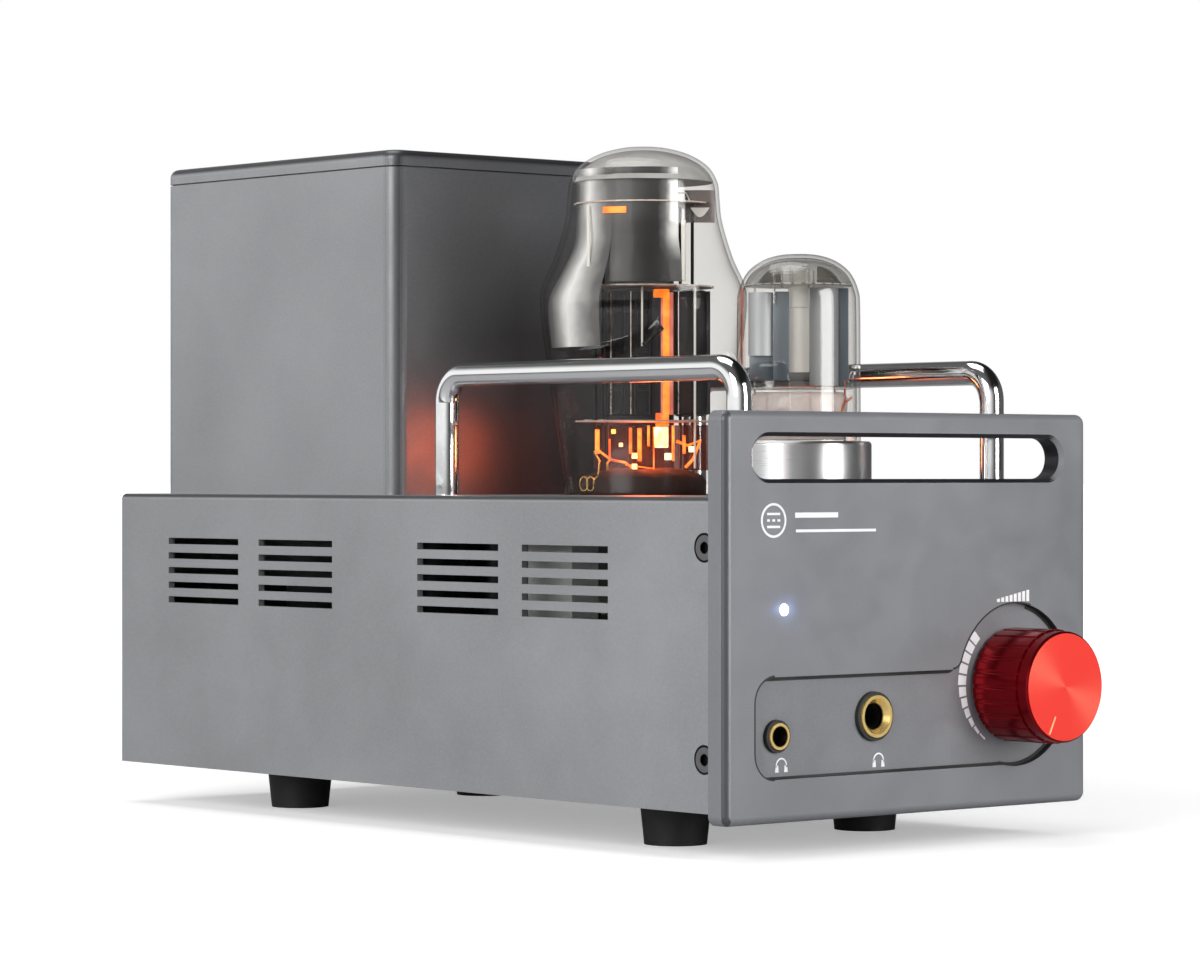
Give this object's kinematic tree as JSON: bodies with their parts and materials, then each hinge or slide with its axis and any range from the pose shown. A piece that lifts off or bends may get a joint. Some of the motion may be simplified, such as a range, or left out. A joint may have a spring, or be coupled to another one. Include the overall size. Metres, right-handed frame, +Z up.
{
  "type": "tube headphone amplifier",
  "caption": "Desktop tube headphone amplifier: vented metal box, exposed tubes between bent guard rails, transformer housing behind, front plate with carry slot and volume knob.",
  "frame": {"origin": "on the floor plane under the middle of the bounding box", "axes": "+X to the right and +Y to the back as the front is faced, +Z up"},
  "size_m": [0.13, 0.29, 0.1847],
  "materials": {
    "grey_panel": "satin anodised",
    "grey_shell": "satin powder coat",
    "bare_steel": "zinc plated",
    "black_steel": "black oxide",
    "chrome": "polished",
    "rubber": "matt",
    "red_knob": "red anodised, spun face",
    "gold": "gold plated",
    "black_plastic": "moulded",
    "lamp": "frosted, lit",
    "glass": "clear",
    "stem_glass": "clear",
    "bakelite": "moulded",
    "nickel": "nickel",
    "plate": "carbonised nickel",
    "mica": "mica",
    "heater": "glowing",
    "turned_aluminium": "turned",
    "ceramic": "glazed",
    "board": "solder mask",
    "can": "sleeved",
    "white_case": "moulded",
    "resistor": "cement",
    "black_aluminium": "black anodised",
    "iron": "varnished laminations",
    "winding": "taped winding",
    "lead": "insulated"
  },
  "bodies": {
    "chassis": {"front_panel": "grey_panel", "chassis_shell": "grey_shell", "bottom_plate": "grey_shell", "front_brackets": "turned_aluminium", "side_screws": "black_steel", "cap_screws": "black_steel", "plate_screws": "black_steel", "fixing_blocks": "turned_aluminium", "feet": "rubber", "guard_rail_left": "chrome", "guard_rail_right": "chrome", "rail_nuts": "bare_steel", "transformer_cover": "grey_shell", "transformer_cap": "grey_shell", "transformer_core": "iron", "transformer_coil": "winding", "transformer_straps": "bare_steel", "lead_grommet": "rubber", "transformer_leads": "lead", "pot_body": "bare_steel", "pot_nut": "nickel", "headphone_jack_body": "black_plastic", "headphone_jack_ring": "gold", "mini_jack_body": "black_plastic", "mini_jack_ring": "gold", "power_lamp": "lamp", "tube_collar": "turned_aluminium", "tube_sockets": "ceramic", "pillars": "nickel", "main_board": "board", "filter_capacitors": "can", "film_capacitors": "white_case", "power_resistors": "resistor", "heat_sink": "black_aluminium", "mains_inlet": "black_plastic", "inlet_pins": "nickel", "switch_frame": "black_plastic", "phono_shells": "gold", "phono_inserts": "black_plastic"},
    "volume_control": {"volume_knob": "red_knob", "knob_grub_screw": "black_steel", "pot_shaft": "nickel"},
    "power_tube": {"power_tube_glass": "glass", "power_tube_base": "bakelite", "power_tube_pins": "nickel", "power_tube_stem": "stem_glass", "power_tube_anodes": "plate", "power_tube_heaters": "heater", "power_tube_micas": "mica", "power_tube_rods": "nickel", "power_tube_getter": "plate"},
    "driver_tube": {"driver_tube_glass": "glass", "driver_tube_base": "bakelite", "driver_tube_pins": "nickel", "driver_tube_anodes": "plate", "driver_tube_micas": "mica", "driver_tube_rods": "nickel"},
    "fuse_carrier": {"fuse_drawer": "black_plastic", "mains_fuse": "glass"},
    "switch_rocker": {"power_rocker": "black_plastic"}
  },
  "joints": [
    {"name": "volume_turn", "type": "hinge", "parent": "chassis", "child": "volume_control", "pos_m": [0.038, -0.1275, 0.0407], "axis": [0, 1, 0], "range_deg": [0, 300]},
    {"name": "power_tube_pull", "type": "slide", "parent": "chassis", "child": "power_tube", "axis": [0, 0, 1], "range_m": [0, 0.055]},
    {"name": "driver_tube_pull", "type": "slide", "parent": "chassis", "child": "driver_tube", "axis": [0, 0, 1], "range_m": [0, 0.045]},
    {"name": "fuse_drawer_slide", "type": "slide", "parent": "chassis", "child": "fuse_carrier", "axis": [0, 1, 0], "range_m": [0, 0.018]},
    {"name": "power_switch_rock", "type": "hinge", "parent": "chassis", "child": "switch_rocker", "pos_m": [0, 0.13, 0.045], "axis": [1, 0, 0], "range_deg": [-20, 0]}
  ]
}
